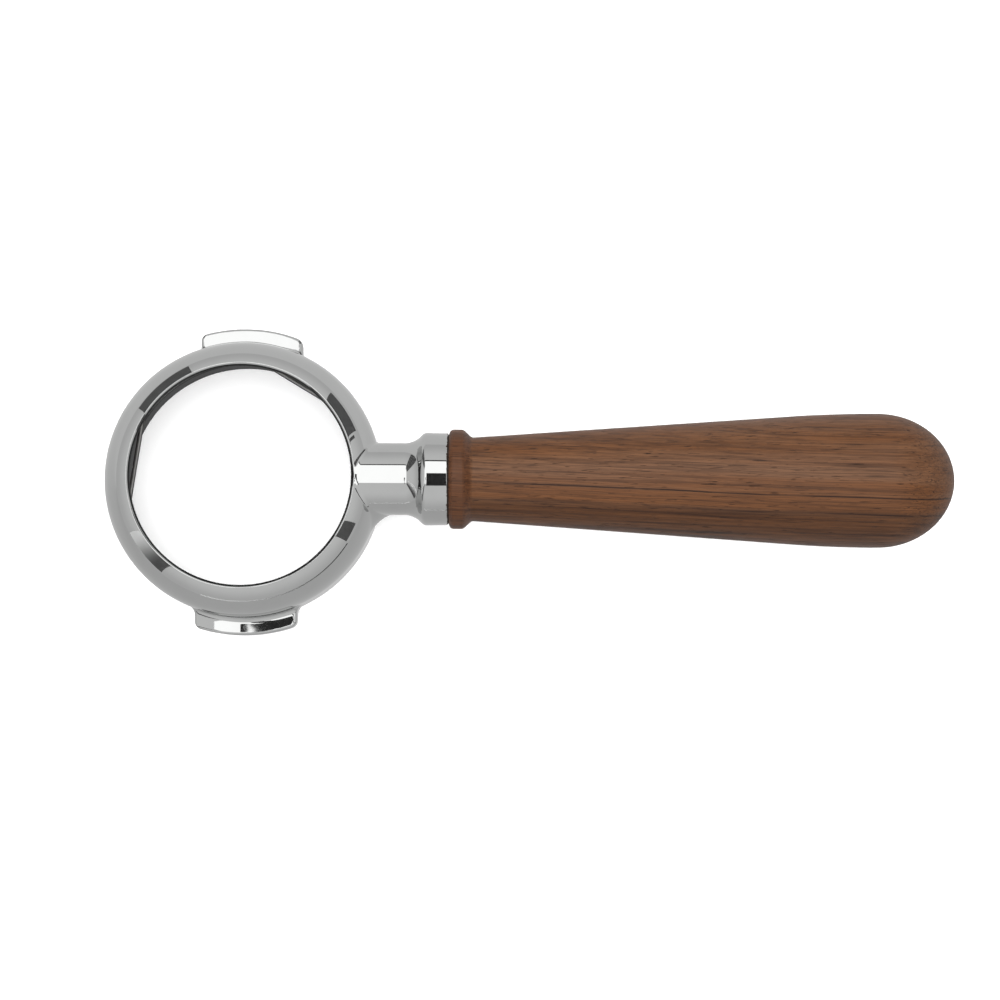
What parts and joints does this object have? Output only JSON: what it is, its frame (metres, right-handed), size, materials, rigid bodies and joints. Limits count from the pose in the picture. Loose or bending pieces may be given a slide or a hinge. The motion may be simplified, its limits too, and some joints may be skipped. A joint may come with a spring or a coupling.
{
  "type": "portafilter",
  "caption": "Bottomless espresso portafilter: chromed ring with two locking lugs, basket spring and a turned walnut handle that screws off.",
  "frame": {"origin": "centre of the mouth rim, the plane that meets the group gasket; the part lies mouth down on it", "axes": "+Z along the group axis from the mouth towards the outlet lip, +X along the handle, +Y towards one locking lug"},
  "size_m": [0.2154, 0.0792, 0.0383],
  "materials": {
    "body_chrome": "polished chrome plate over brass, with faint wiping marks",
    "spring_steel": "drawn stainless spring wire",
    "walnut": "oiled walnut, straight grain along the handle, satin",
    "insert_brass": "machined brass",
    "stud_zinc": "zinc plated, threaded",
    "washer_fibre": "dark vulcanised fibre"
  },
  "bodies": {
    "body": {"portafilter_body": "body_chrome"},
    "spring": {"basket_spring": "spring_steel"},
    "washer": {"seat_washer": "washer_fibre"},
    "handle": {"handle_grip": "walnut", "handle_insert": "insert_brass", "handle_stud": "stud_zinc"}
  },
  "joints": [
    {"name": "spring_turn", "type": "hinge", "parent": "body", "child": "spring", "pos_m": [0, 0, 0.0081], "axis": [0, 0, 1], "continuous": true},
    {"name": "handle_travel", "type": "slide", "parent": "body", "child": "washer", "axis": [0.999, 0, 0.0436], "range_m": [0, 0.0136]},
    {"name": "handle_unscrew", "type": "hinge", "parent": "washer", "child": "handle", "pos_m": [0.05158, 0, 0.01644], "axis": [0.999, 0, 0.0436], "range_deg": [0, 3240]}
  ],
  "couplings": [
    {"joint": "handle_travel", "follows": "handle_unscrew", "m_per_rad": 0.00023873}
  ]
}
